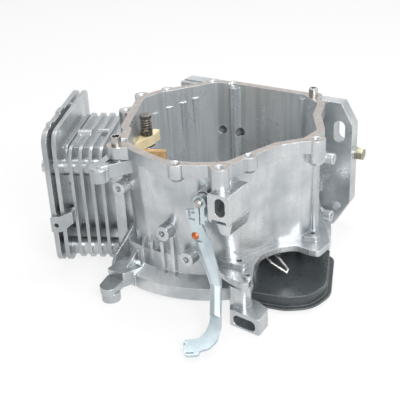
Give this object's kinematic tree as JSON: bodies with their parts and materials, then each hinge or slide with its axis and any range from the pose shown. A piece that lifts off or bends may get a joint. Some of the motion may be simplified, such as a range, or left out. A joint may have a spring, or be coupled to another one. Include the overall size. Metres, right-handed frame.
{
  "type": "engine block",
  "caption": "Air-cooled engine block with an inclined finned cylinder, an open crankcase, a base plate, a governor arm and a black fan-side pan.",
  "frame": {"origin": "on the crankshaft axis in the plane of the crankcase cover's gasket face", "axes": "+Z along the crank axis out of the cover face, +Y out of the base plate's mounting face, +X to the side away from the cylinder bank"},
  "size_m": [0.3155, 0.2891, 0.154],
  "materials": {
    "cast_aluminium": "as-cast, lightly streaked, machined on its faces",
    "iron_liner": "honed",
    "bright_steel": "ground",
    "zinc_steel": "bluish white zinc",
    "yellow_zinc": "dull yellowish zinc",
    "spring_steel": "dark oiled",
    "copper_rivet": "bare orange copper",
    "ivory_nylon": "plain moulded",
    "tan_nylon": "plain moulded",
    "black_sheet": "satin black",
    "seal_rubber": "matt"
  },
  "bodies": {
    "engine": {"block": "cast_aluminium", "cylinder_liner": "iron_liner", "cover_dowel_left": "bright_steel", "cover_dowel_right": "bright_steel", "head_dowels": "bright_steel", "drain_bolt": "yellow_zinc", "drain_washer": "cast_aluminium", "bearing_outer_ring": "bright_steel", "crank_oil_seal": "seal_rubber", "governor_shaft_seal": "seal_rubber", "tensioner_pivot_bolt": "spring_steel", "tensioner_spring": "spring_steel", "tensioner_collar": "spring_steel", "chain_guide": "tan_nylon", "chain_guide_bolts": "bright_steel", "fan_side_pan": "black_sheet", "pan_screws": "zinc_steel", "wire_clip": "bright_steel"},
    "governor": {"governor_shaft": "bright_steel", "governor_inner_lever": "bright_steel", "governor_arm": "zinc_steel", "governor_clamp_bolt": "zinc_steel", "governor_clamp_nut": "zinc_steel", "governor_rivet": "copper_rivet"},
    "tensioner": {"tensioner_blade": "ivory_nylon"},
    "crank_ring": {"bearing_inner_ring": "bright_steel"},
    "ball_train": {"bearing_balls": "bright_steel", "bearing_cage": "bright_steel"}
  },
  "joints": [
    {"name": "governor_turn", "type": "hinge", "parent": "engine", "child": "governor", "pos_m": [0.0595, -0.1, -0.032], "axis": [0, -1, 0], "range_deg": [-5, 5]},
    {"name": "tensioner_swing", "type": "hinge", "parent": "engine", "child": "tensioner", "pos_m": [-0.062, -0.024, -0.0315], "axis": [0, 0, 1], "range_deg": [-3, 4]},
    {"name": "crank_ring_turn", "type": "hinge", "parent": "engine", "child": "crank_ring", "pos_m": [0, 0, -0.1255], "axis": [0, 0, 1], "continuous": true},
    {"name": "ball_train_turn", "type": "hinge", "parent": "engine", "child": "ball_train", "pos_m": [0, 0, -0.1255], "axis": [0, 0, 1], "continuous": true}
  ],
  "couplings": [
    {"joint": "ball_train_turn", "follows": "crank_ring_turn", "ratio": 0.4}
  ]
}
